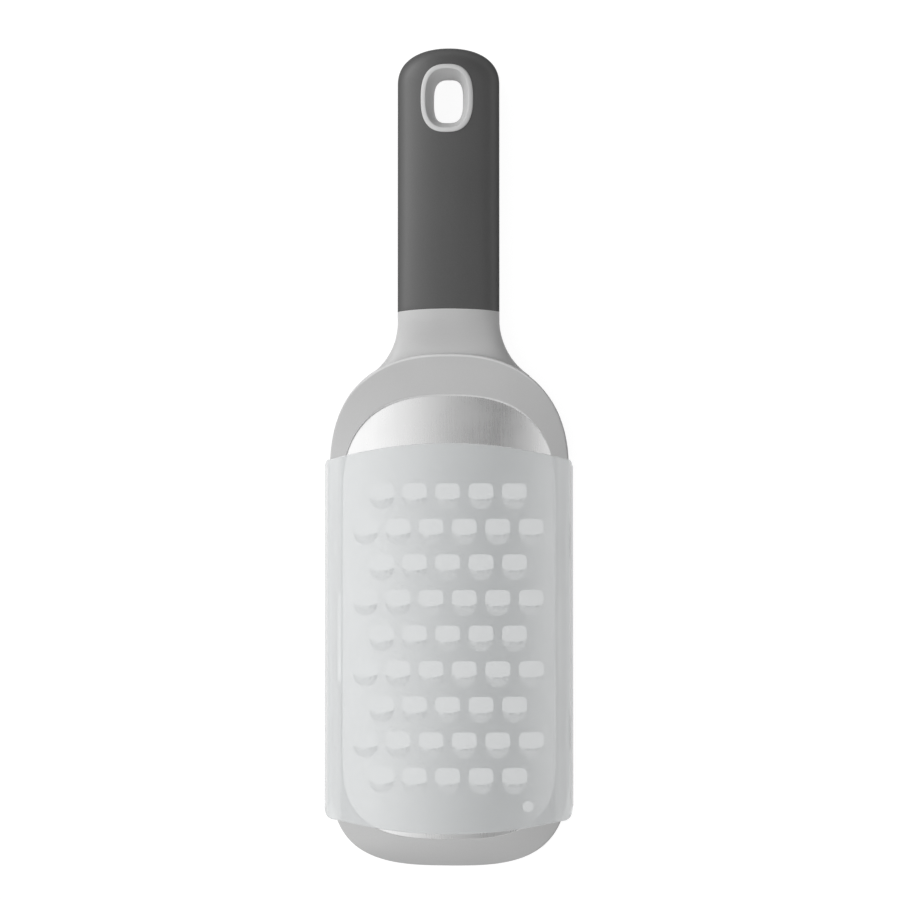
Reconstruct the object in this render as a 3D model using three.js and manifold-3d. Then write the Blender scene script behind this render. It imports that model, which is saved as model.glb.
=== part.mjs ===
import * as THREE from 'three';
import { mergeGeometries, mergeVertices } from 'three/addons/utils/BufferGeometryUtils.js';
import Module from 'manifold-3d';

const wasm = await Module();
wasm.setup();

// A paddle grater lying on a table, teeth up. All sizes are in mm.
// X runs across the head, Y from the tip to the handle end, Z up from the table.

// Stations along Y.
const TOTAL_LENGTH = 272;
const HEAD_LENGTH = 169.9; // tip to the ridge at the shoulder
const NECK_LENGTH = 14.4; // ridge to the grip
const CLEARANCE = 0.3; // gap between pieces that sit against each other

// Arch shared by the plate, the frame's top face and the sleeve.
const ARCH_RADIUS = 130;
const CROWN_Z = 14.5; // top face of the plate on the centre line
const SHEET = 0.5; // plate thickness
const SEAT = 2; // depth of the plate's edge under the frame's lip

// Head frame. Each end of an outline is half a superellipse: its rise is how far the end
// reaches past the straight sides, and a higher power makes squarer corners.
const HEAD_HALF_WIDTH = 40;
const SIDE_BAND = 4.4; // frame showing beside the plate
const TOP_BAND = 14.1;
const TIP_BAND = 9.3;
const HEAD_TOP_RISE = 40;
const HEAD_TIP_RISE = 36;
const HEAD_TOP_POWER = 2.4;
const HEAD_TIP_POWER = 3.1;
const OPENING_TOP_RISE = 34;
const OPENING_TIP_RISE = 28;
const OPENING_TOP_POWER = 2.6;
const OPENING_TIP_POWER = 3;
const LIP_HEIGHT = 1.1; // frame's top face above the plate
const LIP_ROUND = 0.8;
const EDGE_ROUND = 1;
const LEDGE = 1.6; // thickness of the shelf under the plate
const LEDGE_REACH = 1;
const RAIL_Z = 3.2; // underside of the rail that the sleeve hooks under
const RAIL_STEP = 2.6;
const RAIL_CHAMFER = 0.5;
const SKIRT_WALL = 1.9;
const NOSE_DROP = 4; // fall of the frame's top face towards the tip
const SHOULDER_ARCH = 0.4; // share of the arch left at the shoulder

// Neck and handle.
const HANDLE_HALF_WIDTH = 17;
const HANDLE_LOW_Z = 0.5;
const HANDLE_HEIGHT = 18.6;
const HANDLE_TAPER = 0.8; // how much each face draws in at the ends of the handle
const HANDLE_POWER = 2.3;
const NECK_POWER = 2.7;
const NECK_STRAIGHT = 3; // neck next to the grip, before it flares
const NECK_STEP = 0.8; // neck below the shoulder's edge, which leaves a ridge
const FLARE_RADIUS = 22;
const FLARE_ANGLE = THREE.MathUtils.degToRad(58);
const GRIP_WALL = 3;
const GRIP_END_RISE = 12; // rounded end of the handle, a superellipse cut just short of its tip
const GRIP_END_POWER = 2.3;
const GRIP_END_CUT = 0.995;

// Hanging eyelet.
const RING_INSET = 17.5; // its middle, from the handle end
const RING_HALF_WIDTH = 8.7;
const RING_HALF_LENGTH = 11.4;
const RING_RIM = 1.2;
const RING_PROUD = 0.4;
const RING_POWER = 2.7;
const THROAT_HALF_WIDTH = 4.9;
const THROAT_HALF_LENGTH = 7.4;
const THROAT_TURN = Math.PI / 3; // curve of its wall from the waist to a face

// Grating teeth. Each is a hole with a hollow half dome behind it.
const FIRST_ROW_INSET = 34.3; // first cutting edge, from the top of the opening
const ROW_PITCH = 11.78;
const COLUMN_PITCH = 11.05;
const SIDE_MARGIN = 3; // bare sheet beside the widest rows
const LIP_BOW = 0.8; // middle of each cutting edge behind its ends
const HOLE_HALF_WIDTH = 4.1;
const HOLE_LENGTH = 4.5; // in front of the cutting edge's ends
const HOLE_POWER = 5.5;
const DOME_LENGTH = 4.1; // behind the cutting edge's ends
const DOME_HEIGHT = 1.9;
const DOME_SIDE_POWER = 3.2; // across the cutting edge: a flat top with steep flanks
const DOME_BACK_POWER = 1.25; // behind it: close to 1, an even slope
const DOME_ROOT = 0.25; // dome's overlap with the sheet around it
const DOME_BITE = 0.1; // dome's edge inside the sheet's faces
const DOME_LEVELS = [0, 0.45, 0.8, 1];
const LOCATING_HOLE_RADIUS = 1.85;
const LOCATING_HOLE_SIDE = 9.1; // from the opening's side
const LOCATING_HOLE_INSET = 10.5; // from the opening's lower end
const LOCATING_HOLE_MARGIN = 1; // bare sheet between the holes and the last row

// Slide-on cover.
const SLEEVE_GAP = 0.35; // beside the frame
const SLEEVE_HEADROOM = 0.7; // above the teeth
const SLEEVE_WALL = 0.9;
const SLEEVE_ROOF = 1.2;
const SLEEVE_CORNER = 2.6;
const SLEEVE_NEAR_INSET = 15.7; // its end edges on the centre line, from the opening's ends
const SLEEVE_FAR_INSET = 1.8;
const SLEEVE_NEAR_BOW = 5.2; // how far the end edges curve out
const SLEEVE_FAR_BOW = 4;
const SLEEVE_NEAR_CORNER = 2;
const SLEEVE_FAR_CORNER = 4;
const HOOK_GAP = 0.4; // under the rail
const HOOK_SIDE_GAP = 0.7; // beside the skirt
const HOOK_THICKNESS = 1.2;
const HOOK_LENGTH = 12;
const HOOK_SPREAD = 32; // hooks either side of the sleeve's middle
const RIB_INSET = 3.45; // middle of each long rib, from the frame's side
const RIB_WIDTH = 1.7;
const RIB_LENGTH = 29.6;
const PAD_INSET = 1.8; // middle of each pad over a hook, from the frame's side
const PAD_WIDTH = 1.4;
const PAD_LENGTH = 9;

// How finely curves are cut.
const OUTLINE_STEPS = 24;
const OVAL_POINTS = 28;
const ARCH_STEPS = 10;
const DOME_STEPS = 6;
const CORNER_STEPS = 4;

// Places and sizes that follow from the ones above.
const endY = TOTAL_LENGTH / 2;
const tipY = -endY;
const headTopY = tipY + HEAD_LENGTH;
const neckEndY = headTopY + NECK_LENGTH;
const ringY = endY - RING_INSET;
const tangEndY = ringY - RING_HALF_LENGTH - CLEARANCE - GRIP_WALL;

const outerOutline = {
  halfWidth: HEAD_HALF_WIDTH,
  top: headTopY,
  bottom: tipY,
  topRise: HEAD_TOP_RISE,
  bottomRise: HEAD_TIP_RISE,
  topPower: HEAD_TOP_POWER,
  bottomPower: HEAD_TIP_POWER,
};

const openingOutline = {
  halfWidth: HEAD_HALF_WIDTH - SIDE_BAND,
  top: headTopY - TOP_BAND,
  bottom: tipY + TIP_BAND,
  topRise: OPENING_TOP_RISE,
  bottomRise: OPENING_TIP_RISE,
  topPower: OPENING_TOP_POWER,
  bottomPower: OPENING_TIP_POWER,
};

const sleeveNearY = openingOutline.top - SLEEVE_NEAR_INSET;
const sleeveFarY = openingOutline.bottom + SLEEVE_FAR_INSET;
const sleeveMiddleY = (sleeveNearY + sleeveFarY) / 2;
const sleeveInside = HEAD_HALF_WIDTH + SLEEVE_GAP;
const sleeveOutside = sleeveInside + SLEEVE_WALL;
const sleeveLift = DOME_HEIGHT + SLEEVE_HEADROOM;
const hookHighZ = RAIL_Z - HOOK_GAP;
const sleeveBottomZ = hookHighZ - HOOK_THICKNESS;

function grown(outline, by) {
  return {
    ...outline,
    halfWidth: outline.halfWidth + by,
    top: outline.top + by,
    bottom: outline.bottom - by,
    topRise: outline.topRise + by,
    bottomRise: outline.bottomRise + by,
  };
}

function between(one, other, share) {
  const mixed = {};
  for (const key of Object.keys(one)) {
    mixed[key] = THREE.MathUtils.lerp(one[key], other[key], share);
  }
  return mixed;
}

// Half-width of an outline's handle end at a given Y.
function widthAt(outline, y) {
  const share = (y - outline.top + outline.topRise) / outline.topRise;
  const kept = 1 - THREE.MathUtils.clamp(share, 0, 1) ** outline.topPower;
  return outline.halfWidth * kept ** (1 / outline.topPower);
}

function signedPower(value, power) {
  return Math.abs(value) < 1e-9 ? 0 : Math.sign(value) * Math.abs(value) ** power;
}

function outlinePoints(outline) {
  const { halfWidth, top, bottom, topRise, bottomRise, topPower, bottomPower } = outline;
  const points = [];
  for (let i = 0; i <= OUTLINE_STEPS; i++) {
    const turn = (Math.PI * i) / OUTLINE_STEPS;
    const x = halfWidth * signedPower(Math.cos(turn), 2 / topPower);
    const y = top - topRise + topRise * signedPower(Math.sin(turn), 2 / topPower);
    points.push(new THREE.Vector2(x, y));
  }
  for (let i = 0; i <= OUTLINE_STEPS; i++) {
    const turn = Math.PI + (Math.PI * i) / OUTLINE_STEPS;
    const x = halfWidth * signedPower(Math.cos(turn), 2 / bottomPower);
    const y = bottom + bottomRise + bottomRise * signedPower(Math.sin(turn), 2 / bottomPower);
    points.push(new THREE.Vector2(x, y));
  }
  return points;
}

function archDrop(x) {
  return ARCH_RADIUS - Math.sqrt(ARCH_RADIUS ** 2 - x ** 2);
}

function archZ(x) {
  return CROWN_Z - archDrop(x);
}

// Top face of the frame: the arch, flatter at the shoulder and falling at the tip.
function frameTopZ(x, y) {
  const flatter = THREE.MathUtils.smoothstep(y, 0, headTopY) * (1 - SHOULDER_ARCH);
  const beyond = Math.max(0, openingOutline.bottom - y) / TIP_BAND;
  return CROWN_Z + LIP_HEIGHT - archDrop(x) * (1 - flatter) - NOSE_DROP * beyond ** 2;
}

function geometryFrom(positions, indices) {
  const geometry = new THREE.BufferGeometry();
  geometry.setAttribute('position', new THREE.Float32BufferAttribute(positions, 3));
  geometry.setIndex(indices);
  return geometry;
}

function toManifold(geometry) {
  const bare = geometry.clone();
  bare.deleteAttribute('normal');
  bare.deleteAttribute('uv');
  const merged = mergeVertices(bare, 1e-4);
  const vertProperties = new Float32Array(merged.getAttribute('position').array);
  const triVerts = new Uint32Array(merged.getIndex().array);
  const solid = new wasm.Manifold(new wasm.Mesh({ numProp: 3, vertProperties, triVerts }));
  if (solid.volume() < 0) {
    return toManifold(geometryFrom([...vertProperties], [...triVerts].reverse()));
  }
  return solid;
}

function fromManifold(solid) {
  const { vertProperties, triVerts } = solid.getMesh();
  const geometry = geometryFrom([...vertProperties], [...triVerts]);
  geometry.computeVertexNormals();
  return geometry;
}

// Closed tube between rings of equally many points, with a flat fan on each end.
function loft(rings) {
  const count = rings[0].length;
  const positions = rings.flat().flatMap((p) => p.toArray());
  const indices = [];
  for (let ring = 0; ring + 1 < rings.length; ring++) {
    for (let i = 0; i < count; i++) {
      const a = ring * count + i;
      const b = ring * count + ((i + 1) % count);
      indices.push(a, b, b + count, a, b + count, a + count);
    }
  }
  const last = (rings.length - 1) * count;
  for (let i = 1; i + 1 < count; i++) {
    indices.push(0, i + 1, i);
    indices.push(last, last + i, last + i + 1);
  }
  return geometryFrom(positions, indices);
}

// Closed ring swept round a head outline; each section point has an outline and a height.
function sweepRound(section) {
  const positions = [];
  for (const { outline, z } of section) {
    for (const p of outlinePoints(outline)) {
      positions.push(p.x, p.y, z(p.x, p.y));
    }
  }
  const count = positions.length / 3 / section.length;
  const indices = [];
  for (let step = 0; step < section.length; step++) {
    for (let i = 0; i < count; i++) {
      const next = (i + 1) % count;
      const from = step * count;
      const to = ((step + 1) % section.length) * count;
      indices.push(from + i, from + next, to + next, from + i, to + next, to + i);
    }
  }
  return geometryFrom(positions, indices);
}

// Upright prism over a plan outline, from low to high Z.
function uprightPrism(points, low, high) {
  const geometry = new THREE.ExtrudeGeometry(new THREE.Shape(points), {
    depth: high - low,
    bevelEnabled: false,
  });
  return geometry.translate(0, 0, low);
}

// Prism along Y over a section given as X and Z.
function lengthwisePrism(points, nearY, farY) {
  const geometry = uprightPrism(points, 0, nearY - farY);
  return geometry.rotateX(Math.PI / 2).translate(0, nearY, 0);
}

// Oval ring across the handle at a given Y.
function ovalRing(y, halfWidth, lowZ, highZ, power) {
  const middle = (lowZ + highZ) / 2;
  const halfHeight = (highZ - lowZ) / 2;
  const ring = [];
  for (let i = 0; i < OVAL_POINTS; i++) {
    const turn = (2 * Math.PI * i) / OVAL_POINTS;
    const x = halfWidth * signedPower(Math.cos(turn), 2 / power);
    const z = middle + halfHeight * signedPower(Math.sin(turn), 2 / power);
    ring.push(new THREE.Vector3(x, y, z));
  }
  return ring;
}

function spread(from, to, steps) {
  return Array.from({ length: steps + 1 }, (_, i) => THREE.MathUtils.lerp(from, to, i / steps));
}

// Frame.

function rimSolid() {
  const skirt = grown(outerOutline, -RAIL_STEP);
  const skirtInside = grown(skirt, -SKIRT_WALL);
  const seat = grown(openingOutline, SEAT + CLEARANCE);
  const ledge = grown(openingOutline, -LEDGE_REACH);
  const seatTop = (x) => archZ(x) + CLEARANCE;
  const seatBottom = (x) => archZ(x) - SHEET - CLEARANCE;
  const ledgeBottom = (x) => seatBottom(x) - LEDGE;

  const section = [
    { outline: skirt, z: () => 0 },
    { outline: skirt, z: () => RAIL_Z },
    { outline: grown(outerOutline, -RAIL_CHAMFER), z: () => RAIL_Z },
    { outline: outerOutline, z: () => RAIL_Z + RAIL_CHAMFER },
  ];
  for (const turn of spread(0, Math.PI / 2, CORNER_STEPS)) {
    const inset = EDGE_ROUND * (1 - Math.cos(turn));
    const drop = EDGE_ROUND * (1 - Math.sin(turn));
    section.push({ outline: grown(outerOutline, -inset), z: (x, y) => frameTopZ(x, y) - drop });
  }
  const bandOuter = grown(outerOutline, -EDGE_ROUND);
  const bandInner = grown(openingOutline, LIP_ROUND);
  for (const share of spread(0, 1, 4).slice(1, -1)) {
    section.push({ outline: between(bandOuter, bandInner, share), z: frameTopZ });
  }
  for (const turn of spread(Math.PI / 2, 0, CORNER_STEPS / 2)) {
    const inset = LIP_ROUND * (1 - Math.cos(turn));
    const drop = LIP_ROUND * (1 - Math.sin(turn));
    section.push({ outline: grown(openingOutline, inset), z: (x, y) => frameTopZ(x, y) - drop });
  }
  section.push(
    { outline: openingOutline, z: seatTop },
    { outline: seat, z: seatTop },
    { outline: seat, z: seatBottom },
    { outline: ledge, z: seatBottom },
    { outline: ledge, z: ledgeBottom },
    { outline: skirtInside, z: ledgeBottom },
    { outline: skirtInside, z: () => 0 },
  );
  return toManifold(sweepRound(section));
}

// Low and high Z of the handle's faces, drawn in a little towards both ends.
function handleFaces(y) {
  const middle = (neckEndY + endY) / 2;
  const draw = HANDLE_TAPER * ((y - middle) / (endY - middle)) ** 2;
  return { low: HANDLE_LOW_Z + draw, high: HANDLE_LOW_Z + HANDLE_HEIGHT - draw };
}

// Neck: straight at the grip, then flaring on a hollow curve into the shoulder.
function neckSolid() {
  const shoulderZ = CROWN_Z + LIP_HEIGHT - NECK_STEP;
  const end = handleFaces(neckEndY);
  const ringAt = (y, halfWidth) => {
    const share = THREE.MathUtils.smoothstep(y, headTopY, neckEndY);
    const high = THREE.MathUtils.lerp(shoulderZ, end.high, share);
    const low = THREE.MathUtils.lerp(0, end.low, share);
    const power = THREE.MathUtils.lerp(NECK_POWER, HANDLE_POWER, share);
    return ovalRing(y, halfWidth, low, high, power);
  };
  const flareY = neckEndY - NECK_STRAIGHT;
  const rings = spread(FLARE_ANGLE, 0, 10).map((turn) => {
    const y = flareY - FLARE_RADIUS * Math.sin(turn);
    const halfWidth = HANDLE_HALF_WIDTH + FLARE_RADIUS * (1 - Math.cos(turn));
    const root = turn === FLARE_ANGLE ? widthAt(outerOutline, y) - CLEARANCE : halfWidth;
    return ringAt(y, Math.min(halfWidth, root));
  });
  rings.push(ringAt(neckEndY, HANDLE_HALF_WIDTH));
  return toManifold(loft(rings));
}

function tangSolid(nearY, farY, extra) {
  const faces = handleFaces((nearY + farY) / 2);
  const inset = GRIP_WALL - extra;
  const rings = [nearY, farY].map((y) =>
    ovalRing(y, HANDLE_HALF_WIDTH - inset, faces.low + inset, faces.high - inset, HANDLE_POWER));
  return toManifold(loft(rings));
}

function frameGeometry() {
  const tangRootY = (headTopY + neckEndY) / 2;
  const solid = rimSolid()
    .add(neckSolid())
    .add(tangSolid(tangRootY, tangEndY - CLEARANCE, 0));
  return fromManifold(solid);
}

// Handle skin and eyelet.

function handleSolid(fromY, proud) {
  const roundY = endY - GRIP_END_RISE;
  const straight = spread(fromY, roundY, 7);
  const rounded = spread(0, Math.PI / 2, 8).slice(1).map((turn) => roundY + GRIP_END_RISE * Math.sin(turn));
  const rings = [...straight, ...rounded].map((y) => {
    const share = GRIP_END_CUT * Math.min(1, Math.max(0, y - roundY) / GRIP_END_RISE);
    const arc = (1 - share ** GRIP_END_POWER) ** (1 / GRIP_END_POWER);
    const halfWidth = HANDLE_HALF_WIDTH * arc;
    const { low, high } = handleFaces(y);
    const slim = arc ** 0.7 * (high - low) / 2 + proud;
    const middle = (low + high) / 2;
    return ovalRing(y, halfWidth + proud, middle - slim, middle + slim, HANDLE_POWER);
  });
  return toManifold(loft(rings));
}

function ovalPlan(halfWidth, halfLength) {
  const points = [];
  for (let i = 0; i < OVAL_POINTS; i++) {
    const turn = (2 * Math.PI * i) / OVAL_POINTS;
    const x = halfWidth * signedPower(Math.cos(turn), 2 / RING_POWER);
    const y = ringY + halfLength * signedPower(Math.sin(turn), 2 / RING_POWER);
    points.push(new THREE.Vector2(x, y));
  }
  return points;
}

function ringColumn(extra) {
  const plan = ovalPlan(RING_HALF_WIDTH + extra, RING_HALF_LENGTH + extra);
  return toManifold(uprightPrism(plan, -HANDLE_HEIGHT, 2 * HANDLE_HEIGHT));
}

// Waisted hole: narrow at mid-height, flaring to the rim on both faces.
function throatSolid() {
  const middle = HANDLE_LOW_Z + HANDLE_HEIGHT / 2;
  const reach = HANDLE_HEIGHT / 2 + 2 * RING_PROUD;
  const rings = spread(-THROAT_TURN, THROAT_TURN, 10).map((turn) => {
    const flare = (1 - Math.cos(turn)) / (1 - Math.cos(THROAT_TURN));
    const height = Math.sin(turn) / Math.sin(THROAT_TURN);
    const halfWidth = THREE.MathUtils.lerp(THROAT_HALF_WIDTH, RING_HALF_WIDTH - RING_RIM, flare);
    const halfLength = THREE.MathUtils.lerp(THROAT_HALF_LENGTH, RING_HALF_LENGTH - RING_RIM, flare);
    return ovalPlan(halfWidth, halfLength)
      .map((p) => new THREE.Vector3(p.x, p.y, middle + reach * height));
  });
  return toManifold(loft(rings));
}

function gripGeometry() {
  const nearY = neckEndY + CLEARANCE;
  const solid = handleSolid(nearY, 0)
    .subtract(tangSolid(nearY - GRIP_WALL, tangEndY, CLEARANCE))
    .subtract(ringColumn(CLEARANCE));
  return fromManifold(solid);
}

function ringGeometry() {
  const solid = handleSolid(neckEndY, RING_PROUD)
    .intersect(ringColumn(0))
    .subtract(throatSolid());
  return fromManifold(solid);
}

// Grating plate.

// Staggered rows, as many as the sheet has room for; every other row is one tooth shorter.
function toothPlaces() {
  const firstY = openingOutline.top - FIRST_ROW_INSET;
  const lastClear = LOCATING_HOLE_INSET + LOCATING_HOLE_RADIUS + LOCATING_HOLE_MARGIN;
  const lastY = openingOutline.bottom + lastClear + DOME_LENGTH - LIP_BOW;
  const reach = openingOutline.halfWidth - SIDE_MARGIN - HOLE_HALF_WIDTH;
  const widest = 1 + Math.floor((2 * reach) / COLUMN_PITCH);
  const places = [];
  for (let row = 0; firstY - row * ROW_PITCH >= lastY; row++) {
    const count = row % 2 ? widest : widest - 1;
    for (let column = 0; column < count; column++) {
      const x = (column - (count - 1) / 2) * COLUMN_PITCH;
      places.push({ x, lipY: firstY - row * ROW_PITCH });
    }
  }
  return places;
}

// Plan of the punched hole: square-shouldered in front of the edge, round under the dome.
function holePrism({ x, lipY }) {
  const points = [];
  for (let i = 0; i < 2 * DOME_STEPS; i++) {
    const turn = (Math.PI * i) / DOME_STEPS;
    const power = turn < Math.PI ? HOLE_POWER : 2;
    const length = turn < Math.PI ? HOLE_LENGTH : DOME_LENGTH;
    const dx = HOLE_HALF_WIDTH * signedPower(Math.cos(turn), 2 / power);
    const dy = length * signedPower(Math.sin(turn), 2 / power);
    points.push(new THREE.Vector2(x + dx, lipY + LIP_BOW + dy));
  }
  return uprightPrism(points, 0, CROWN_Z + DOME_HEIGHT);
}

// Half dome of sheet: highest at the cutting edge, running out into the plate behind it.
function domeShell({ x, lipY }) {
  const positions = [];
  const halfWidth = HOLE_HALF_WIDTH + DOME_ROOT;
  const length = DOME_LENGTH + DOME_ROOT;
  for (const side of [1, 0]) {
    for (const level of DOME_LEVELS) {
      for (let i = 0; i <= DOME_STEPS; i++) {
        const turn = (Math.PI * i) / DOME_STEPS;
        const across = level * Math.cos(turn);
        const back = level * Math.sin(turn);
        const bow = LIP_BOW * (1 - across ** 2) * (1 - back);
        const px = x + halfWidth * across;
        const py = lipY + LIP_BOW - bow - length * back;
        const power = THREE.MathUtils.lerp(DOME_SIDE_POWER, DOME_BACK_POWER, Math.sin(turn) ** 2);
        const rise = DOME_HEIGHT * (1 - level ** power);
        const inside = side ? -DOME_BITE * level : DOME_BITE * level - SHEET;
        positions.push(px, py, archZ(px) + rise + inside);
      }
    }
  }
  const row = DOME_STEPS + 1;
  const under = row * DOME_LEVELS.length;
  const indices = [];
  const quad = (a, b, c, d) => indices.push(a, b, c, a, c, d);
  for (let level = 0; level + 1 < DOME_LEVELS.length; level++) {
    const from = level * row;
    const to = from + row;
    for (let i = 0; i < DOME_STEPS; i++) {
      if (level === 0) {
        indices.push(from, to + i + 1, to + i);
        indices.push(under + from, under + to + i, under + to + i + 1);
      } else {
        quad(from + i, from + i + 1, to + i + 1, to + i);
        quad(under + from + i, under + to + i, under + to + i + 1, under + from + i + 1);
      }
    }
    const last = DOME_STEPS;
    quad(from, to, under + to, under + from);
    quad(from + last, under + from + last, under + to + last, to + last);
  }
  const edge = row * (DOME_LEVELS.length - 1);
  for (let i = 0; i < DOME_STEPS; i++) {
    quad(edge + i, edge + i + 1, under + edge + i + 1, under + edge + i);
  }
  return geometryFrom(positions, indices);
}

function archBand(halfWidth, lowLift, highLift) {
  const across = spread(-halfWidth, halfWidth, ARCH_STEPS);
  const lower = across.map((x) => new THREE.Vector2(x, archZ(x) + lowLift));
  const upper = across.map((x) => new THREE.Vector2(x, archZ(x) + highLift)).reverse();
  return [...lower, ...upper];
}

function plateGeometry() {
  const outline = grown(openingOutline, SEAT);
  const band = archBand(outline.halfWidth + 1, -SHEET, 0);
  const places = toothPlaces();
  const dots = [-1, 1].map((side) => {
    const dot = new THREE.CylinderGeometry(LOCATING_HOLE_RADIUS, LOCATING_HOLE_RADIUS, CROWN_Z, 16);
    const x = side * (openingOutline.halfWidth - LOCATING_HOLE_SIDE);
    return dot.rotateX(Math.PI / 2).translate(x, openingOutline.bottom + LOCATING_HOLE_INSET, CROWN_Z);
  });
  let solid = toManifold(lengthwisePrism(band, endY, -endY))
    .intersect(toManifold(uprightPrism(outlinePoints(outline), 0, 2 * CROWN_Z)))
    .subtract(toManifold(mergeGeometries(places.map(holePrism))));
  for (const dot of dots) {
    solid = solid.subtract(toManifold(dot));
  }
  return fromManifold(solid.add(toManifold(mergeGeometries(places.map(domeShell)))));
}

// Slide-on cover.

// Half of the sleeve's inner or outer section, from the crown to the foot of the side wall.
function sleeveHalf(halfWidth, lift, corner) {
  const half = [];
  const bendX = halfWidth - corner;
  const bendZ = archZ(bendX) + lift - corner;
  for (const x of spread(0, bendX, ARCH_STEPS / 2)) {
    half.push(new THREE.Vector2(x, archZ(x) + lift));
  }
  for (const turn of spread(Math.PI / 2, 0, CORNER_STEPS).slice(1)) {
    half.push(new THREE.Vector2(bendX + corner * Math.cos(turn), bendZ + corner * Math.sin(turn)));
  }
  half.push(new THREE.Vector2(halfWidth, sleeveBottomZ));
  return half;
}

function mirrored(half) {
  const other = half.slice(1).map((p) => new THREE.Vector2(-p.x, p.y));
  return [...other.reverse(), ...half];
}

// Plan of the sleeve: straight sides, bowed ends, rounded corners.
function sleevePlan() {
  const shape = new THREE.Shape();
  const side = sleeveOutside;
  const near = SLEEVE_NEAR_CORNER;
  const far = SLEEVE_FAR_CORNER;
  const nearBowX = (side - near) / 2;
  const farBowX = (side - far) / 2;
  const nearSideY = sleeveNearY - SLEEVE_NEAR_BOW;
  const farSideY = sleeveFarY + SLEEVE_FAR_BOW;
  shape.moveTo(side, farSideY + far);
  shape.lineTo(side, nearSideY - near);
  shape.quadraticCurveTo(side, nearSideY, side - near, nearSideY);
  shape.quadraticCurveTo(nearBowX, sleeveNearY, 0, sleeveNearY);
  shape.quadraticCurveTo(-nearBowX, sleeveNearY, near - side, nearSideY);
  shape.quadraticCurveTo(-side, nearSideY, -side, nearSideY - near);
  shape.lineTo(-side, farSideY + far);
  shape.quadraticCurveTo(-side, farSideY, far - side, farSideY);
  shape.quadraticCurveTo(-farBowX, sleeveFarY, 0, sleeveFarY);
  shape.quadraticCurveTo(farBowX, sleeveFarY, side - far, farSideY);
  shape.quadraticCurveTo(side, farSideY, side, farSideY + far);
  return shape.getPoints(6);
}

// Bar under the sleeve's roof that stops just above the frame's top face.
function roofBar(x, width, length, y) {
  const left = x - width / 2;
  const right = x + width / 2;
  const foot = (at) => frameTopZ(at, y) + CLEARANCE;
  const head = (at) => archZ(at) + sleeveLift + SLEEVE_ROOF / 2;
  const section = [
    new THREE.Vector2(left, foot(left)),
    new THREE.Vector2(right, foot(right)),
    new THREE.Vector2(right, head(right)),
    new THREE.Vector2(left, head(left)),
  ];
  return toManifold(lengthwisePrism(section, y + length / 2, y - length / 2));
}

function hookSolid(side, y) {
  const inner = HEAD_HALF_WIDTH - RAIL_STEP + HOOK_SIDE_GAP;
  const outer = sleeveInside + SLEEVE_WALL / 2;
  const box = new THREE.BoxGeometry(outer - inner, HOOK_LENGTH, HOOK_THICKNESS);
  return toManifold(box.translate((side * (inner + outer)) / 2, y, (hookHighZ + sleeveBottomZ) / 2));
}

function sleeveGeometry() {
  const outside = mirrored(sleeveHalf(sleeveOutside, sleeveLift + SLEEVE_ROOF, SLEEVE_CORNER));
  const inside = mirrored(sleeveHalf(sleeveInside, sleeveLift, SLEEVE_CORNER - SLEEVE_WALL));
  const section = [...outside, ...inside.reverse()];
  const shell = toManifold(lengthwisePrism(section, endY, -endY));
  const plan = toManifold(uprightPrism(sleevePlan(), 0, 2 * CROWN_Z));
  let solid = shell.intersect(plan);
  for (const side of [-1, 1]) {
    const ribX = side * (HEAD_HALF_WIDTH - RIB_INSET);
    const padX = side * (HEAD_HALF_WIDTH - PAD_INSET);
    solid = solid.add(roofBar(ribX, RIB_WIDTH, RIB_LENGTH, sleeveMiddleY));
    for (const way of [-1, 1]) {
      const y = sleeveMiddleY + way * HOOK_SPREAD;
      solid = solid.add(roofBar(padX, PAD_WIDTH, PAD_LENGTH, y)).add(hookSolid(side, y));
    }
  }
  return fromManifold(solid);
}

function piece(name, geometry, look) {
  const mesh = new THREE.Mesh(geometry, new THREE.MeshStandardMaterial(look));
  mesh.name = name;
  return mesh;
}

const paddleGrater = new THREE.Group();
paddleGrater.name = 'paddle_grater';
paddleGrater.add(
  piece('frame', frameGeometry(), { color: 0xb8b8b8, roughness: 0.5 }),
  piece('grating_plate', plateGeometry(), { color: 0xc9cac8, roughness: 0.3, metalness: 1 }),
  piece('soft_grip', gripGeometry(), { color: 0x565656, roughness: 0.85 }),
  piece('hang_ring', ringGeometry(), { color: 0xb8b8b8, roughness: 0.5 }),
  piece('guard_sleeve', sleeveGeometry(), {
    color: 0xe3e8e8,
    roughness: 0.35,
    transparent: true,
    opacity: 0.6,
  }),
);

export default paddleGrater;
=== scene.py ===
import math
from collections import Counter
from typing import NamedTuple

import bmesh
import bpy
from mathutils import Matrix, Vector
from mathutils.geometry import delaunay_2d_cdt


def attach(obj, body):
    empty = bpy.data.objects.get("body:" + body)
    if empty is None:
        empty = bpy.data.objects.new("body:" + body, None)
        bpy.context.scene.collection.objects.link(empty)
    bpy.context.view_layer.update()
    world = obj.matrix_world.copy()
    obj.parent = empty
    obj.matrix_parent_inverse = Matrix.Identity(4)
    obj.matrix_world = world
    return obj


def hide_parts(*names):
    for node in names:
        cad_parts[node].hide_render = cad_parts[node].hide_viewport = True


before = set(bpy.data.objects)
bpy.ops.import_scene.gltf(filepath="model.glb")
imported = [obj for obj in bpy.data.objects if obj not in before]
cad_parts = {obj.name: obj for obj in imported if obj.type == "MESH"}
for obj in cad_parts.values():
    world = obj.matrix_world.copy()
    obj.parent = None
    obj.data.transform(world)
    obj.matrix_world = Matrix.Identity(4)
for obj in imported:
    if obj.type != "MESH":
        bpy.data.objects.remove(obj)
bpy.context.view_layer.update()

# Sizes are in mm and follow the solids. X runs across the head, Y to the handle end, Z up.
MM = 0.001
END_Y = 136
HEAD_TOP_Y = 33.9
NECK_END_Y = 48.3
CLEARANCE = 0.3
EASED_STEPS = 4

ARCH_RADIUS = 130
CROWN_Z = 14.5
SHEET = 0.5
SEAT = 2

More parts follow.
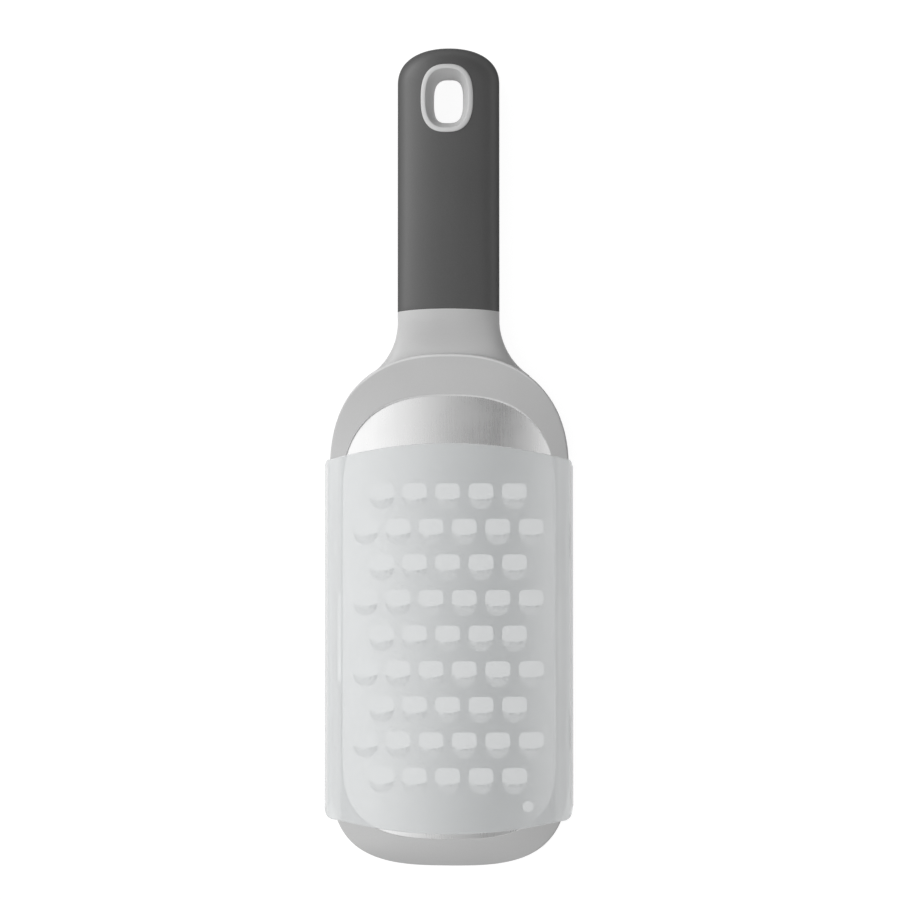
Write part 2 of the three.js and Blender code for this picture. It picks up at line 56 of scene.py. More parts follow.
RIM_STEPS = 110
LIP_HEIGHT = 0.4
LIP_SLOPE = 0.16
TOP_LIP_SLOPE = 0.6
TOP_LIP_FROM_Y = 10
TOP_LIP_FULL_Y = 18
LIP_POWER = 1.4
# How soon the painted highlight down the lip reaches full strength.
LIP_PAINTED_HIGHLIGHT_RATE = 3
LIP_STEPS = 6
EDGE_ROUND = 0.5
EDGE_STEPS = 9
RIDGE_ROUND = 0.7
RIDGE_FROM_Y = 20
RIDGE_FULL_Y = 28
BAND_MARGIN = 0.03
BAND_STEPS = 12
LEDGE = 1.6
LEDGE_REACH = 1
RAIL_Z = 3.2
RAIL_STEP = 2.6
RAIL_CHAMFER = 0.5
SKIRT_WALL = 1.9
NOSE_DROP = 4
SHOULDER_ARCH = 0.4

HANDLE_HALF_WIDTH = 17
HANDLE_LOW_Z = 0.5
HANDLE_HEIGHT = 18.6
HANDLE_TAPER = 0.8
HANDLE_POWER = 2.3
HANDLE_POINTS = 96
NECK_POWER = 2.7
NECK_STRAIGHT = 3
NECK_STEP = 0.8
NECK_STEPS = 40
JOINT_BOW = 0.65
JOINT_REACH = 9
FLARE_RADIUS = 22
FLARE_ANGLE = math.radians(58)
GRIP_WALL = 3
GRIP_STEPS = 50
GRIP_END_RISE = 12
GRIP_END_POWER = 2.3
GRIP_END_CUT = 0.995
GRIP_END_FULLNESS = 0.7
GRIP_END_STEPS = 28
GRIP_EDGE = 0.2

RING_Y = 118.5
RING_HALF_WIDTH = 8.7
RING_HALF_LENGTH = 11.4
RING_POWER = 2.6
RING_POINTS = 140
RING_BEAD = 1.6
RING_PROUD = 0.38
BEAD_POWER = 0.6
# Strength of the painted highlight on the eyelet's bead.
BEAD_PAINTED_HIGHLIGHT = 0.5
BEAD_STEPS = 14
SKIN_UNDER_BEAD = RING_BEAD / 4
SKIN_HOLE_POINTS = 120
THROAT_POWER = 3
THROAT_HALF_WIDTH = 4.9
THROAT_HALF_LENGTH = 7.4
THROAT_TURN = math.pi / 3
THROAT_STEPS = 18
TANG_END_Y = RING_Y - RING_HALF_LENGTH - CLEARANCE - GRIP_WALL

TOOTH_ROWS = 9
WIDEST_ROW = 6
FIRST_LIP_Y = -14.5
ROW_PITCH = 11.78
COLUMN_PITCH = 11.05
LIP_BOW = 0.8
HOLE_HALF_WIDTH = 4.1
HOLE_LENGTH = 4.5
HOLE_POWER = 5.5
HOLE_STEPS = 24
DOME_LENGTH = 4.1
DOME_HEIGHT = 1.9
DOME_SIDE_POWER = 3.2
DOME_BACK_POWER = 1.25
DOME_STEPS = 20
DOME_LEVELS = (0.965, 0.91, 0.84, 0.74, 0.61, 0.45, 0.26)
LOCATING_HOLE_RADIUS = 1.85
LOCATING_HOLE_X = 26.5
LOCATING_HOLE_Y = -116.2
LOCATING_HOLE_POINTS = 32
PLATE_EDGE_STEPS = 60
GRID_ROWS = 64
GRID_COLUMNS = 34
GRID_MARGIN = 1.5
HOLE_MARGIN = 1.2
MERGE_REACH = 1e-5

SLEEVE_NEAR_Y = 4.1
SLEEVE_FAR_Y = -124.9
SLEEVE_MIDDLE_Y = (SLEEVE_NEAR_Y + SLEEVE_FAR_Y) / 2
SLEEVE_INSIDE = 40.35
SLEEVE_OUTSIDE = 41.25
SLEEVE_LIFT = 2.6
SLEEVE_ROOF = 1.2
SLEEVE_CORNER = 1.3
SLEEVE_BOTTOM_Z = 1.6
SLEEVE_NEAR_BOW = 5.2
SLEEVE_FAR_BOW = 4
SLEEVE_NEAR_CORNER = 2
SLEEVE_FAR_CORNER = 4
SLEEVE_EDGE = 0.3
ROOF_STEPS = 40
CORNER_STEPS = 12
WALL_STEPS = 6
HOOK_HIGH_Z = 2.8
HOOK_INSIDE = 38.1
HOOK_OUTSIDE = 40.8
HOOK_LENGTH = 12
HOOK_SPREAD = 32
RIB_X = 36.55
RIB_WIDTH = 1.7
RIB_LENGTH = 29.6
PAD_X = 38.2
PAD_WIDTH = 1.4
PAD_LENGTH = 9
BAR_EDGE = 0.25
BAR_EASE = 0.3 * BAR_EDGE

# How milky the sleeve is, from 0 to 1, and over what distance that changes at its sides; above one half
# it also paints the sleeve paler, as painted light over the rim, at the ends and on the rib.
ROOF_MILK = 0.4
RIM_MILK_AND_PAINTED_LIGHT = 0.75
WALL_MILK = 0.15
RIB_MILK_AND_PAINTED_LIGHT = 1
RIM_FADE = (-1, 1)
WALL_FADE = (-0.1, 0.6)


def mix(one, other, share):
    return one + (other - one) * share


def smoothstep(value, low, high):
    share = min(1, max(0, (value - low) / (high - low)))
    return share * share * (3 - 2 * share)


def signed_power(value, power):
    return math.copysign(abs(value) ** power, value)


def spread(first, last, steps):
    return [mix(first, last, i / steps) for i in range(steps + 1)]


def round_turns(points):
    return spread(0, 2 * math.pi, points)[:-1]


class Outline(NamedTuple):
    """Head outline: straight sides, and half a superellipse at each end."""

    half_width: float
    top: float
    bottom: float
    top_rise: float
    bottom_rise: float
    top_power: float
    bottom_power: float

    def grown(self, by):
        return self._replace(
            half_width=self.half_width + by,
            top=self.top + by,
            bottom=self.bottom - by,
            top_rise=self.top_rise + by,
            bottom_rise=self.bottom_rise + by,
        )

    def toward(self, other, share):
        return Outline(*(mix(a, b, share) for a, b in zip(self, other)))

    def at(self, turn, tip):
        power = 2 / (self.bottom_power if tip else self.top_power)
        x = self.half_width * signed_power(math.cos(turn), power)
        reach = signed_power(math.sin(turn), power)
        if tip:
            return x, self.bottom + self.bottom_rise * (1 + reach)
        return x, self.top + self.top_rise * (reach - 1)


OUTER = Outline(
    half_width=40, top=HEAD_TOP_Y, bottom=-END_Y,
    top_rise=40, bottom_rise=36, top_power=2.4, bottom_power=3.1,
)
OPENING = Outline(
    half_width=35.6, top=19.8, bottom=-126.7,
    top_rise=34, bottom_rise=28, top_power=2.6, bottom_power=3,
)


def outline_places(steps):
    top = [(turn, False) for turn in spread(0, math.pi, steps)]
    tip = [(turn, True) for turn in spread(math.pi, 2 * math.pi, steps)]
    return top + tip


def arch_drop(x):
    return ARCH_RADIUS - math.sqrt(ARCH_RADIUS**2 - x**2)


def arch_z(x):
    return CROWN_Z - arch_drop(x)


def frame_top_z(x, y):
    flatter = smoothstep(y, 0, HEAD_TOP_Y) * (1 - SHOULDER_ARCH)
    beyond = max(0, OPENING.bottom - y) / (OPENING.bottom - OUTER.bottom)
    return CROWN_Z + LIP_HEIGHT - arch_drop(x) * (1 - flatter) - NOSE_DROP * beyond**2


class Body:
    """Points and faces gathered for one piece.

    A point may carry a fourth number from 0 to 1, its tone: the strength of a painted highlight on
    an edge, or how milky the sleeve is there, which above one half also paints it paler as painted
    light.
    """

    def __init__(self):
        self.points = []
        self.faces = []

    def add_ring(self, ring):
        start = len(self.points)
        self.points += ring
        return list(range(start, start + len(ring)))

    def join(self, one, other):
        for i in range(len(one)):
            after = (i + 1) % len(one)
            self.faces.append((one[i], one[after], other[after], other[i]))

    def loft(self, rings, ends=True):
        loops = [self.add_ring(ring) for ring in rings]
        for one, other in zip(loops, loops[1:]):
            self.join(one, other)
        if ends:
            self.faces += [tuple(reversed(loops[0])), tuple(loops[-1])]
        else:
            self.join(loops[-1], loops[0])

    def mesh(self, name):
        mesh = bpy.data.meshes.new(name)
        mesh.from_pydata([Vector(p[:3]) * MM for p in self.points], [], self.faces)
        tone = mesh.attributes.new("tone", "FLOAT", "POINT")
        tone.data.foreach_set("value", [p[3] if len(p) > 3 else 0.0 for p in self.points])
        work = bmesh.new()
        work.from_mesh(mesh)
        bmesh.ops.recalc_face_normals(work, faces=work.faces)
        work.to_mesh(mesh)
        work.free()
        return mesh


def link(name, data):
    thing = bpy.data.objects.new(name, data)
    bpy.context.scene.collection.objects.link(thing)
    return thing


def solid(name, rings, ends=True):
    body = Body()
    body.loft(rings, ends)
    return link(name, body.mesh(name))


def combine(piece, others, operation):
    """Cuts closed meshes out of a piece, or joins them to it, and keeps the result as its mesh."""
    for other in others:
        modifier = piece.modifiers.new(operation, "BOOLEAN")
        modifier.operation = operation
        modifier.object = other
        modifier.solver = "MANIFOLD"
    graph = bpy.context.evaluated_depsgraph_get()
    result = bpy.data.meshes.new_from_object(piece.evaluated_get(graph))
    piece.modifiers.clear()
    piece.data = result
    for other in others:
        bpy.data.objects.remove(other)


def finish_piece(piece, material, body, node, sharp=32):
    """Gives a piece its finish and its place in the model; folds above sharp degrees stay crisp."""
    piece.data.materials.clear()
    piece.data.materials.append(material)
    piece.data.shade_smooth()
    piece.data.set_sharp_from_angle(angle=math.radians(sharp))
    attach(piece, body)
    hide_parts(node)


# Frame.


def rim_ring(place):
    """Section of the rim at one place round the head."""
    ridge = smoothstep(OUTER.at(*place)[1], RIDGE_FROM_Y, RIDGE_FULL_Y)
    edge = mix(EDGE_ROUND, RIDGE_ROUND, ridge)
    at_top = smoothstep(OPENING.at(*place)[1], TOP_LIP_FROM_Y, TOP_LIP_FULL_Y)
    slope = mix(LIP_SLOPE, TOP_LIP_SLOPE, at_top)
    skirt = OUTER.grown(-RAIL_STEP)
    seat = OPENING.grown(SEAT + CLEARANCE)
    ledge = OPENING.grown(-LEDGE_REACH)
    skirt_inside = skirt.grown(-SKIRT_WALL)
    ring = []

    def put(outline, height, tone=0.0):
        x, y = outline.at(*place)
        ring.append((x, y, height(x, y), tone))

    def level(z):
        return lambda x, y: z

    def below_top(drop):
        return lambda x, y: frame_top_z(x, y) - drop

    def off_arch(lift):
        return lambda x, y: arch_z(x) + lift

    put(skirt, level(0))
    put(skirt, level(RAIL_Z))
    put(OUTER.grown(-RAIL_CHAMFER), level(RAIL_Z))
    put(OUTER, level(RAIL_Z + RAIL_CHAMFER))
    # The ridge's rounded edge gets tone, for a painted highlight along it.
    for turn in spread(0, math.pi / 2, EDGE_STEPS):
        outline = OUTER.grown(-edge * (1 - math.cos(turn)))
        put(outline, below_top(edge * (1 - math.sin(turn))), ridge * math.sin(turn) ** 2)
    band_outer = OUTER.grown(-edge)
    band_inner = OPENING.grown(slope)
    for share in spread(BAND_MARGIN, 1 - BAND_MARGIN, BAND_STEPS):
        put(band_outer.toward(band_inner, share), frame_top_z)
    # The lip gets tone down to the sheet: a painted highlight that also lightens its shaded wall.
    for share in spread(0, 1, LIP_STEPS):
        drop = LIP_HEIGHT * share**LIP_POWER
        put(OPENING.grown(slope * (1 - share)), below_top(drop), min(1, LIP_PAINTED_HIGHLIGHT_RATE * share))
    put(OPENING, off_arch(-SHEET / 2), 1.0)
    put(seat, off_arch(-SHEET / 2))
    put(seat, off_arch(-SHEET - CLEARANCE))
    put(ledge, off_arch(-SHEET - CLEARANCE))
    put(ledge, off_arch(-SHEET - CLEARANCE - LEDGE))
    put(skirt_inside, off_arch(-SHEET - CLEARANCE - LEDGE))
    put(skirt_inside, level(0))
    return ring


def oval_ring(y, half_width, low, high, power):
    ring = []
    for i in range(HANDLE_POINTS):
        turn = 2 * math.pi * i / HANDLE_POINTS
        x = half_width * signed_power(math.cos(turn), 2 / power)
        z = (low + high) / 2 + (high - low) / 2 * signed_power(math.sin(turn), 2 / power)
        ring.append((x, y, z))
    return ring


def bowed(ring):
    """Ring with its sides drawn towards the head where it lies near the joint of neck and grip."""
    y = ring[0][1]
    bow = JOINT_BOW * (1 - smoothstep(abs(y - NECK_END_Y), CLEARANCE, JOINT_REACH))
    return [(x, y - bow * (x / HANDLE_HALF_WIDTH) ** 2, z) for x, y, z in ring]


def handle_faces(y):
    """Lowest and highest Z of the handle, which thins towards both of its ends."""
    middle = (NECK_END_Y + END_Y) / 2
    draw = HANDLE_TAPER * ((y - middle) / (END_Y - middle)) ** 2
    return HANDLE_LOW_Z + draw, HANDLE_LOW_Z + HANDLE_HEIGHT - draw


def head_width_at(y):
    share = min(1, max(0, (y - OUTER.top + OUTER.top_rise) / OUTER.top_rise))
    return OUTER.half_width * (1 - share**OUTER.top_power) ** (1 / OUTER.top_power)


def neck_rings():
    """Straight at the grip, then flaring on a hollow curve into the shoulder."""
    shoulder_z = CROWN_Z + LIP_HEIGHT - NECK_STEP
    end_low, end_high = handle_faces(NECK_END_Y)

    def ring(y, half_width):
        share = smoothstep(y, HEAD_TOP_Y, NECK_END_Y)
        high = mix(shoulder_z, end_high, share)
        low = mix(0, end_low, share)
        return bowed(oval_ring(y, half_width, low, high, mix(NECK_POWER, HANDLE_POWER, share)))

    flare_y = NECK_END_Y - NECK_STRAIGHT
    rings = []
    for turn in spread(FLARE_ANGLE, 0, NECK_STEPS):
        y = flare_y - FLARE_RADIUS * math.sin(turn)
        half_width = HANDLE_HALF_WIDTH + FLARE_RADIUS * (1 - math.cos(turn))
        if turn == FLARE_ANGLE:
            half_width = min(half_width, head_width_at(y) - CLEARANCE)
        rings.append(ring(y, half_width))
    rings.append(ring(NECK_END_Y, HANDLE_HALF_WIDTH))
    rings.append(ring(NECK_END_Y + CLEARANCE, HANDLE_HALF_WIDTH))
    return rings


def tang_rings(near_y, far_y, extra):
    """Tang inside the grip, or with extra the room for it."""
    low, high = handle_faces((near_y + far_y) / 2)
    inset = GRIP_WALL - extra
    return [
        oval_ring(y, HANDLE_HALF_WIDTH - inset, low + inset, high - inset, HANDLE_POWER)
        for y in (near_y, far_y)
    ]


def make_frame(material):
    rim = [rim_ring(place) for place in outline_places(RIM_STEPS)]
    piece = solid("frame_moulding", rim, ends=False)
    tang = tang_rings((HEAD_TOP_Y + NECK_END_Y) / 2, TANG_END_Y - CLEARANCE, 0)
    combine(piece, [solid("neck", neck_rings()), solid("tang", tang)], "UNION")
    finish_piece(piece, material, "grater", "frame")


# Handle skin and eyelet.


def handle_section(y):
    """Half width, middle height and half height of the handle."""
    round_y = END_Y - GRIP_END_RISE
    share = GRIP_END_CUT * min(1, max(0, y - round_y) / GRIP_END_RISE)
    arc = (1 - share**GRIP_END_POWER) ** (1 / GRIP_END_POWER)
    low, high = handle_faces(y)
    return HANDLE_HALF_WIDTH * arc, (low + high) / 2, arc**GRIP_END_FULLNESS * (high - low) / 2


def handle_ring(y, inset=0):
    half_width, middle, slim = handle_section(y)
    slim -= inset
    return bowed(oval_ring(y, half_width - inset, middle - slim, middle + slim, HANDLE_POWER))


def oval_point(turn, half_width, half_length, power=RING_POWER):
    """Plan point on an oval round the hanging hole."""
    x = half_width * signed_power(math.cos(turn), 2 / power)
    return x, RING_Y + half_length * signed_power(math.sin(turn), 2 / power)


def make_grip(material):
    near_y = NECK_END_Y + CLEARANCE
    round_y = END_Y - GRIP_END_RISE
    rings = [
        handle_ring(near_y + GRIP_EDGE * (1 - math.cos(turn)), GRIP_EDGE * (1 - math.sin(turn)))
        for turn in spread(0, math.pi / 2, EASED_STEPS)
    ]
    rings += [handle_ring(y) for y in spread(near_y + GRIP_EDGE, round_y, GRIP_STEPS)[1:]]
    rings += [
        handle_ring(round_y + GRIP_END_RISE * math.sin(turn))
        for turn in spread(0, math.pi / 2, GRIP_END_STEPS)[1:]
    ]
    piece = solid("grip_skin", rings)

    half_width = RING_HALF_WIDTH - SKIN_UNDER_BEAD
    half_length = RING_HALF_LENGTH - SKIN_UNDER_BEAD
    column = [
        [(*oval_point(turn, half_width, half_length), z) for turn in round_turns(SKIN_HOLE_POINTS)]
        for z in (-HANDLE_HEIGHT, 2 * HANDLE_HEIGHT)
    ]
    cavity = tang_rings(near_y - GRIP_WALL, TANG_END_Y, CLEARANCE)
    combine(piece, [solid("column", column), solid("cavity", cavity)], "DIFFERENCE")
    finish_piece(piece, material, "grater", "soft_grip")


def make_ring(material):
    """Oval eyelet: a rounded bead on both faces and a waisted throat between them."""
    middle = HANDLE_LOW_Z + HANDLE_HEIGHT / 2
    inner_width = RING_HALF_WIDTH - RING_BEAD
    inner_length = RING_HALF_LENGTH - RING_BEAD

    def face_height(x, y):
        half_width, _, slim = handle_section(y)
        return slim * (1 - abs(x / half_width) ** HANDLE_POWER) ** (1 / HANDLE_POWER)

    def half_section(turn):
        half = [(*oval_point(turn, RING_HALF_WIDTH, RING_HALF_LENGTH), 0.0)]
        for bend in spread(0, math.pi, BEAD_STEPS):
            inset = RING_BEAD / 2 * (1 - math.cos(bend))
            x, y = oval_point(turn, RING_HALF_WIDTH - inset, RING_HALF_LENGTH - inset)
            height = face_height(x, y) + RING_PROUD * math.sin(bend) ** BEAD_POWER
            # The bead gets tone, for a painted highlight round its rim.
            half.append((x, y, height, BEAD_PAINTED_HIGHLIGHT * math.sin(bend)))
        rim_height = half[-1][2]
        for bend in spread(THROAT_TURN, 0, THROAT_STEPS)[1:]:
            flare = (1 - math.cos(bend)) / (1 - math.cos(THROAT_TURN))
            width = mix(THROAT_HALF_WIDTH, inner_width, flare)
            length = mix(THROAT_HALF_LENGTH, inner_length, flare)
            height = rim_height * math.sin(bend) / math.sin(THROAT_TURN)
            power = mix(THROAT_POWER, RING_POWER, flare)
            half.append((*oval_point(turn, width, length, power), height))
        return half

    rings = []
    for turn in round_turns(RING_POINTS):
        half = half_section(turn)
        upper = [(x, y, middle + z, *tone) for x, y, z, *tone in half]
        lower = [(x, y, middle - z, *tone) for x, y, z, *tone in reversed(half[1:-1])]
        rings.append(upper + lower)
    piece = solid("eyelet", rings, ends=False)
    finish_piece(piece, material, "grater", "hang_ring", sharp=50)


# Grating plate.

FRONT_TURNS = spread(0, math.pi, HOLE_STEPS)[:-1]
DOME_TURNS = spread(math.pi, 2 * math.pi, DOME_STEPS)[:-1]


def tooth_places():
    places = []
    for row in range(TOOTH_ROWS):
        count = WIDEST_ROW if row % 2 else WIDEST_ROW - 1
        for column in range(count):
            x = (column - (count - 1) / 2) * COLUMN_PITCH
            places.append((x, FIRST_LIP_Y - row * ROW_PITCH))
    return places


def tooth_point(place, across, back):
    """Plan point of a tooth: across its width, and back from its cutting edge, as shares."""
    x, lip_y = place
    bow = LIP_BOW * (1 - across**2) * (1 - back)
    return x + HOLE_HALF_WIDTH * across, lip_y + LIP_BOW - bow - DOME_LENGTH * back


def tooth_loop(place):
    """Edge of the punched hole: square-shouldered in front of the cutting edge, round behind it."""
    x, lip_y = place
    loop = []
    for turn in FRONT_TURNS:
        dx = HOLE_HALF_WIDTH * signed_power(math.cos(turn), 2 / HOLE_POWER)
        dy = HOLE_LENGTH * signed_power(math.sin(turn), 2 / HOLE_POWER)
        loop.append((x + dx, lip_y + LIP_BOW + dy))
    return loop + [tooth_point(place, math.cos(turn), -math.sin(turn)) for turn in DOME_TURNS]


def locating_hole(side):
    return [
        (side * LOCATING_HOLE_X + LOCATING_HOLE_RADIUS * math.cos(turn),
         LOCATING_HOLE_Y + LOCATING_HOLE_RADIUS * math.sin(turn))
        for turn in round_turns(LOCATING_HOLE_POINTS)
    ]


def inside(point, loop):
    x, y = point
    crossings = 0
    for (ax, ay), (bx, by) in zip(loop, loop[1:] + loop[:1]):
        if (ay > y) != (by > y) and x < ax + (y - ay) * (bx - ax) / (by - ay):
            crossings += 1
    return crossings % 2 == 1


def hole_test(loops):
    """Function that tells whether a point lies in one of the holes, grown by a margin."""
    holes = []
    for loop in loops:
        middle_x = (loop[0][0] + loop[len(loop) // 2][0]) / 2
        middle = Vector((middle_x, sum(y for _, y in loop) / len(loop)))
        holes.append((middle, max((Vector(p) - middle).length for p in loop), loop))

    def in_a_hole(point, margin):
        for middle, reach, loop in holes:
            away = Vector(point) - middle
            if away.length < reach * margin and inside(middle + away / margin, loop):
                return True
        return False

    return in_a_hole


def pierced_sheet():
    """Top face of the sheet with its holes, and the points round each hole."""
    edge = OPENING.grown(SEAT)
    loops = [[edge.at(*place) for place in outline_places(PLATE_EDGE_STEPS)]]
    loops += [tooth_loop(place) for place in tooth_places()]
    loops += [locating_hole(side) for side in (-1, 1)]
    in_a_hole = hole_test(loops[1:])

    flat = [p for loop in loops for p in loop]
    inner = edge.grown(-GRID_MARGIN)
    room = [inner.at(*place) for place in outline_places(PLATE_EDGE_STEPS)]
    for y in spread(inner.bottom, inner.top, GRID_ROWS):
        for x in spread(-inner.half_width, inner.half_width, GRID_COLUMNS):
            if inside((x, y), room) and not in_a_hole((x, y), HOLE_MARGIN):
                flat.append((x, y))

    sides, firsts, first = [], [], 0
    for loop in loops:
        firsts.append(first)
        sides += [(first + i, first + (i + 1) % len(loop)) for i in range(len(loop))]
        first += len(loop)
    points, _, faces, sources, _, _ = delaunay_2d_cdt(
        [Vector(p) for p in flat], sides, [], 0, MERGE_REACH
    )
    made = {source: i for i, from_points in enumerate(sources) for source in from_points}

    top = Body()
    top.points = [(p.x, p.y, arch_z(p.x), 0.0) for p in points]
    for face in faces:
        middle = sum((points[i] for i in face), Vector((0, 0))) / len(face)
        if not in_a_hole(middle, 1):
            top.faces.append(tuple(face))
    rounds = [
        [made[first + i] for i in range(len(loop))] for first, loop in zip(firsts[1:], loops[1:])
    ]
    return top, rounds


def add_dome(top, place, hole):
    """Half dome raised behind the cutting edge, from the edge of its hole up to its crown."""
    arc = hole[len(FRONT_TURNS):] + hole[:1]
    for level in DOME_LEVELS:
        ring = []
        for turn in [*DOME_TURNS, 2 * math.pi]:
            x, y = tooth_point(place, level * math.cos(turn), -level * math.sin(turn))
            power = mix(DOME_SIDE_POWER, DOME_BACK_POWER, math.sin(turn) ** 2)
            rise = DOME_HEIGHT * (1 - level**power)
            # The ends of the cutting edge get tone, for a painted highlight.
            painted_highlight_tone = 1.0 if turn in (math.pi, 2 * math.pi) else 0.0
            ring.append((x, y, arch_z(x) + rise, painted_highlight_tone))
        ring = top.add_ring(ring)
        top.faces += [(arc[i], arc[i + 1], ring[i + 1], ring[i]) for i in range(DOME_STEPS)]
        arc = ring
    # The middle of the cutting edge gets tone too, for the same painted highlight.
    x, y = tooth_point(place, 0, 0)
    crown = top.add_ring([(x, y, arch_z(x) + DOME_HEIGHT, 1.0)])[0]
    top.faces += [(arc[i], arc[i + 1], crown) for i in range(DOME_STEPS)]


def thickened(top):
    """Closed sheet with this top face."""
    body = Body()
    count = len(top.points)
    body.points = top.points + [(x, y, z - SHEET, tone) for x, y, z, tone in top.points]
    body.faces = top.faces + [tuple(count + i for i in reversed(face)) for face in top.faces]
    uses = Counter(
        tuple(sorted(side)) for face in top.faces for side in zip(face, face[1:] + face[:1])
    )
    body.faces += [(b, a, count + a, count + b) for (a, b), used in uses.items() if used == 1]
    return body


def make_plate(material):
    top, holes = pierced_sheet()
    for place, hole in zip(tooth_places(), holes):
        add_dome(top, place, hole)
    piece = link("steel_plate", thickened(top).mesh("steel_plate"))
    finish_piece(piece, material, "grater", "grating_plate", sharp=28)


# Slide-on cover.


def sleeve_half(half_width, lift, corner):
    """Half of a section of the sleeve, from the crown to the foot of the side wall."""
    bend_x = half_width - corner
    bend_z = arch_z(bend_x) + lift - corner
    half = [(x, arch_z(x) + lift) for x in spread(0, bend_x, ROOF_STEPS)]
    for turn in spread(math.pi / 2, 0, CORNER_STEPS)[1:]:
        half.append((bend_x + corner * math.cos(turn), bend_z + corner * math.sin(turn)))
    half += [(half_width, z) for z in spread(bend_z, SLEEVE_BOTTOM_Z, WALL_STEPS)[1:]]
    return half


def mirrored(half):
    return [(-x, z) for x, z in reversed(half[1:])] + half


def end_inset(x, bow, corner):
    """How far a bowed end with rounded corners lies inside its highest point."""
    straight = SLEEVE_OUTSIDE - corner
    beyond = min(1, max(0, abs(x) - straight) / corner)
    return bow * min(1, abs(x) / straight) ** 2 + corner * (1 - math.sqrt(1 - beyond)) ** 2


def sleeve_strip(outer, inner):
    """Loop round the wall's thickness at one place of the section, with rounded ends."""
    near_y = SLEEVE_NEAR_Y - end_inset(outer[0], SLEEVE_NEAR_BOW, SLEEVE_NEAR_CORNER)
    far_y = SLEEVE_FAR_Y + end_inset(outer[0], SLEEVE_FAR_BOW, SLEEVE_FAR_CORNER)
    thick = math.dist(outer, inner)
    over_rim = smoothstep(abs(outer[0]) - OPENING.half_width, *RIM_FADE)
    in_wall = smoothstep(abs(outer[0]) - SLEEVE_INSIDE, *WALL_FADE)
    # Over the frame's rim the sleeve is milkier, which also paints it paler as painted light.
    milk = mix(mix(ROOF_MILK, RIM_MILK_AND_PAINTED_LIGHT, over_rim), WALL_MILK, in_wall)

    def point(depth, y, at_end):
        x, z = (mix(a, b, depth / thick) for a, b in zip(outer, inner))
        # The ends turn milkier and are painted paler, a painted highlight along the sleeve's edges.
        return x, y, z, mix(milk, 1, at_end * (1 - in_wall))

    bends = [
        (SLEEVE_EDGE * (1 - math.cos(turn)), SLEEVE_EDGE * (1 - math.sin(turn)), math.sin(turn))
        for turn in spread(0, math.pi / 2, EASED_STEPS)
    ]
    strip = [point(depth, near_y - back, at_end) for depth, back, at_end in bends]
    strip += [point(thick - depth, near_y - back, at_end) for depth, back, at_end in reversed(bends)]
    strip += [point(thick - depth, far_y + back, at_end) for depth, back, at_end in bends]
    strip += [point(depth, far_y + back, at_end) for depth, back, at_end in reversed(bends)]
    return strip


def bar_rings(left, right, low, high, near_y, far_y, milk):
    """Bar along Y with its long edges and ends eased; low and high give Z at an X."""
    rings = []
    for y, inset in (
        (near_y, BAR_EDGE), (near_y - BAR_EASE, BAR_EASE), (near_y - BAR_EDGE, 0),
        (far_y + BAR_EDGE, 0), (far_y + BAR_EASE, BAR_EASE), (far_y, BAR_EDGE),
    ):
        a, b = left + inset, right - inset
        section = (
            (a, low(a) + inset + BAR_EDGE), (a + BAR_EDGE, low(a) + inset),
            (b - BAR_EDGE, low(b) + inset), (b, low(b) + inset + BAR_EDGE),
            (b, high(b)), (a, high(a)),
        )
        rings.append([(x, y, z, milk) for x, z in section])
    return rings


def make_sleeve(material):
    """Milky cover with a rib and two pads under each side of its roof, and hooks under the rim."""
    wall = SLEEVE_OUTSIDE - SLEEVE_INSIDE
    outer = mirrored(sleeve_half(SLEEVE_OUTSIDE, SLEEVE_LIFT + SLEEVE_ROOF, SLEEVE_CORNER))
    inner = mirrored(sleeve_half(SLEEVE_INSIDE, SLEEVE_LIFT, SLEEVE_CORNER - wall))
    piece = solid("milky_cover", [sleeve_strip(*pair) for pair in zip(outer, inner)])
    bars = []

    def in_roof(x):
        return arch_z(x) + SLEEVE_LIFT + SLEEVE_ROOF / 2

    def above_frame(x):
        return frame_top_z(x, SLEEVE_MIDDLE_Y) + CLEARANCE

    def bar(left, right, low, high, y, length, milk=ROOF_MILK):
        rings = bar_rings(left, right, low, high, y + length / 2, y - length / 2, milk)
        bars.append(solid("bar", rings))

    def hang(x, width, y, length, **more):
        bar(x - width / 2, x + width / 2, above_frame, in_roof, y, length, **more)

    for side in (-1, 1):
        # The rib is fully milky, so it shows as a pale line of painted light.
        hang(side * RIB_X, RIB_WIDTH, SLEEVE_MIDDLE_Y, RIB_LENGTH, milk=RIB_MILK_AND_PAINTED_LIGHT)
        for y in (SLEEVE_MIDDLE_Y - HOOK_SPREAD, SLEEVE_MIDDLE_Y + HOOK_SPREAD):
            hang(side * PAD_X, PAD_WIDTH, y, PAD_LENGTH)
            left, right = sorted((side * HOOK_INSIDE, side * HOOK_OUTSIDE))
            bar(left, right, lambda x: SLEEVE_BOTTOM_Z, lambda x: HOOK_HIGH_Z, y, HOOK_LENGTH)
    combine(piece, bars, "UNION")
    piece.visible_shadow = False
    piece.visible_glossy = False
    piece.visible_diffuse = False
    finish_piece(piece, material, "sleeve", "guard_sleeve")


# Materials.

# Most of a noise lies between these values.
NOISE_REACH = (0.3, 0.7)
SPECK_REACH = (0.35, 0.65)
MOULDING_SHADE = 0.55


